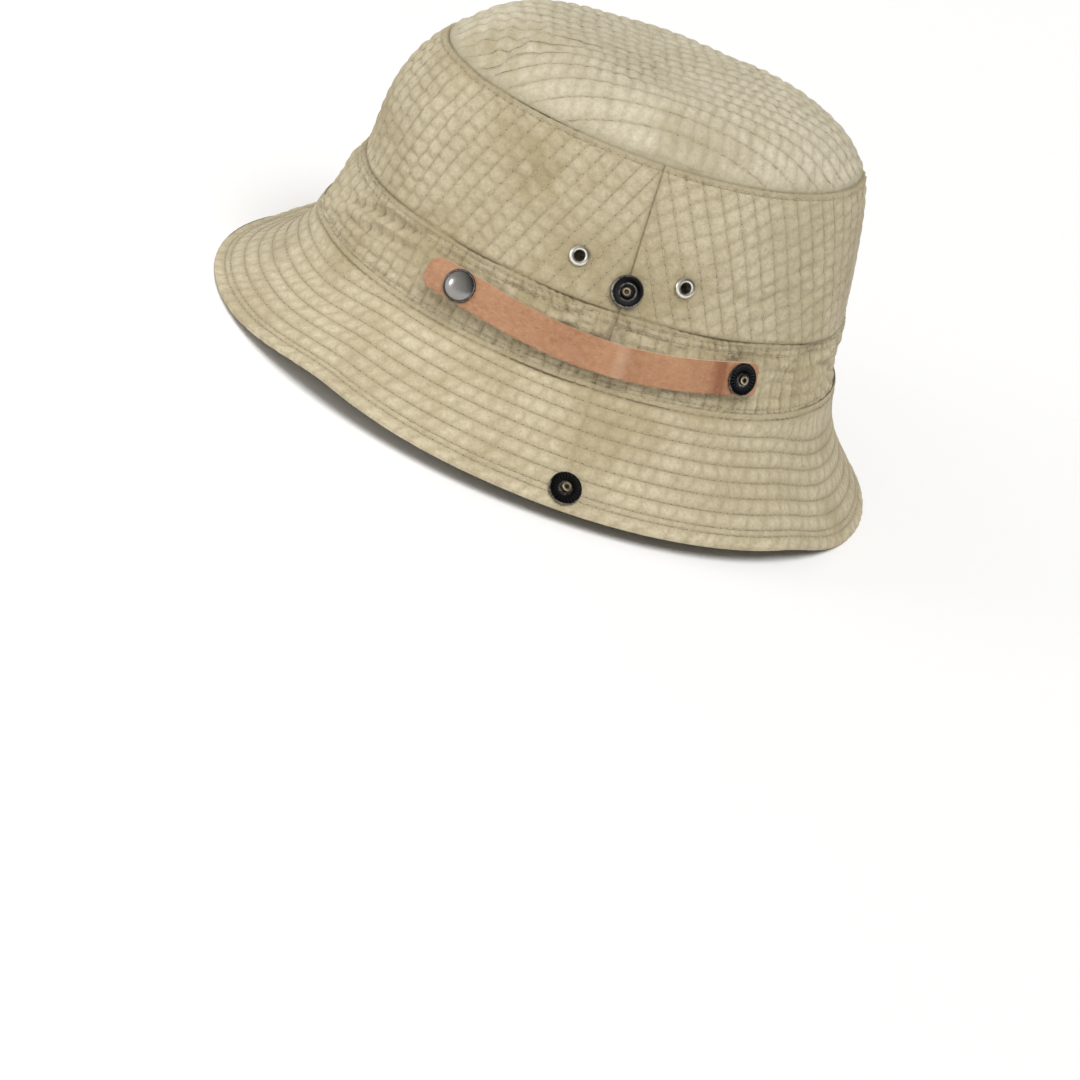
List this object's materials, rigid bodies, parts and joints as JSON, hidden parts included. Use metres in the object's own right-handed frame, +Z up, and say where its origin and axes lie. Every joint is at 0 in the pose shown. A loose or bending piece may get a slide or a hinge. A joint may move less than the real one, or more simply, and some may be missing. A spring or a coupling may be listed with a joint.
{
  "type": "bucket hat",
  "caption": "Soft quilted bucket hat with a domed oval crown, a sloping brim whose sides snap up to the crown, eyelets and a leather side strap on snaps.",
  "frame": {"origin": "centre of the bounding box's bottom, on the plane that the front and back of the brim's edge stand on", "axes": "+Z up through the crown, -Y towards the wearer's face, +X towards the wearer's left"},
  "size_m": [0.2406, 0.2678, 0.1385],
  "materials": {
    "cloth": "washed cotton twill, quilted, matte",
    "lining": "plain cotton, matte",
    "tape": "twill tape, matte",
    "leather": "fine-grained, satin",
    "black_metal": "black oxide, worn on the rims",
    "steel": "smoky polished",
    "brass": "dull",
    "nickel": "bright, faintly warm"
  },
  "bodies": {
    "root": {"crown_side_front": "cloth", "band_front": "cloth", "lining_side_front": "lining", "brim_front_upper": "cloth", "brim_front_under": "cloth", "crown_side_back": "cloth", "band_back": "cloth", "lining_side_back": "lining", "brim_back_upper": "cloth", "brim_back_under": "cloth", "crown_tip": "cloth", "lining_tip": "lining", "sweatband": "tape", "crown_socket_left": "black_metal", "crown_socket_post_left": "brass", "eyelet_front_left": "nickel", "eyelet_washer_front_left": "nickel", "eyelet_rear_left": "nickel", "eyelet_washer_rear_left": "nickel", "crown_socket_right": "black_metal", "crown_socket_post_right": "brass", "eyelet_front_right": "nickel", "eyelet_washer_front_right": "nickel", "eyelet_rear_right": "nickel", "eyelet_washer_rear_right": "nickel", "strap_rear": "leather", "band_stud_disc": "black_metal", "band_stud_post": "brass", "strap_stud_disc": "black_metal", "strap_stud_post": "brass"},
    "flap_left": {"flap_left_upper": "cloth", "flap_left_under": "cloth", "brim_stud_disc_left": "black_metal", "brim_stud_post_left": "brass"},
    "flap_right": {"flap_right_upper": "cloth", "flap_right_under": "cloth", "brim_stud_disc_right": "black_metal", "brim_stud_post_right": "brass"},
    "strap": {"strap_front": "leather", "strap_cap": "steel", "strap_socket": "black_metal"}
  },
  "joints": [
    {"name": "left_side_fold", "type": "hinge", "parent": "root", "child": "flap_left", "pos_m": [0.09046, 0, 0.03927], "axis": [0, -1, 0], "range_deg": [0, 156]},
    {"name": "right_side_fold", "type": "hinge", "parent": "root", "child": "flap_right", "pos_m": [-0.09046, 0, 0.03927], "axis": [0, 1, 0], "range_deg": [0, 156]},
    {"name": "strap_swing", "type": "hinge", "parent": "root", "child": "strap", "pos_m": [0.07945, 0.04239, 0.0556], "axis": [-0.3287, -0.1546, 0.9317], "range_deg": [0, 170]}
  ]
}
